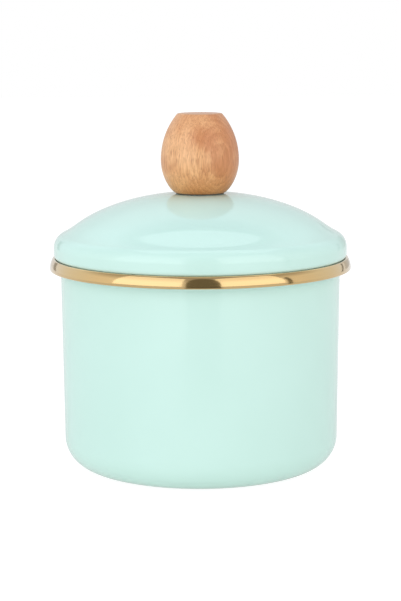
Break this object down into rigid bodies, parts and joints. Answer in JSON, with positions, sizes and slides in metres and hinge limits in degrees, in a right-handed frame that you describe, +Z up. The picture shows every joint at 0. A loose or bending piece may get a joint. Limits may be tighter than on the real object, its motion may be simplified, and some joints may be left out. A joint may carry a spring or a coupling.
{
  "type": "storage container",
  "caption": "Round enamelled steel storage pot with a gold-coloured rim band, a lift-off domed lid and a turned wooden knob.",
  "frame": {"origin": "centre of the flat base, on the surface that the pot stands on", "axes": "+Z up along the axis of revolution, +X to the right and +Y to the back as seen in the reference view"},
  "size_m": [0.151, 0.151, 0.1773],
  "materials": {
    "mint_enamel": "gloss",
    "white_enamel": "gloss",
    "gold_steel": "polished",
    "beech": "satin",
    "brass": "satin",
    "steel": "satin",
    "silicone": "matte"
  },
  "bodies": {
    "pot": {"pot_shell": "mint_enamel", "rim_band": "gold_steel"},
    "lid": {"lid_shell": "mint_enamel", "lid_collar": "white_enamel", "knob": "beech", "knob_insert": "brass", "knob_screw": "steel", "screw_washer": "steel", "screw_gasket": "silicone", "knob_gasket": "silicone"}
  },
  "joints": [
    {"name": "lid_lift", "type": "slide", "parent": "pot", "child": "lid", "axis": [0, 0, 1], "range_m": [0, 0.08]}
  ]
}
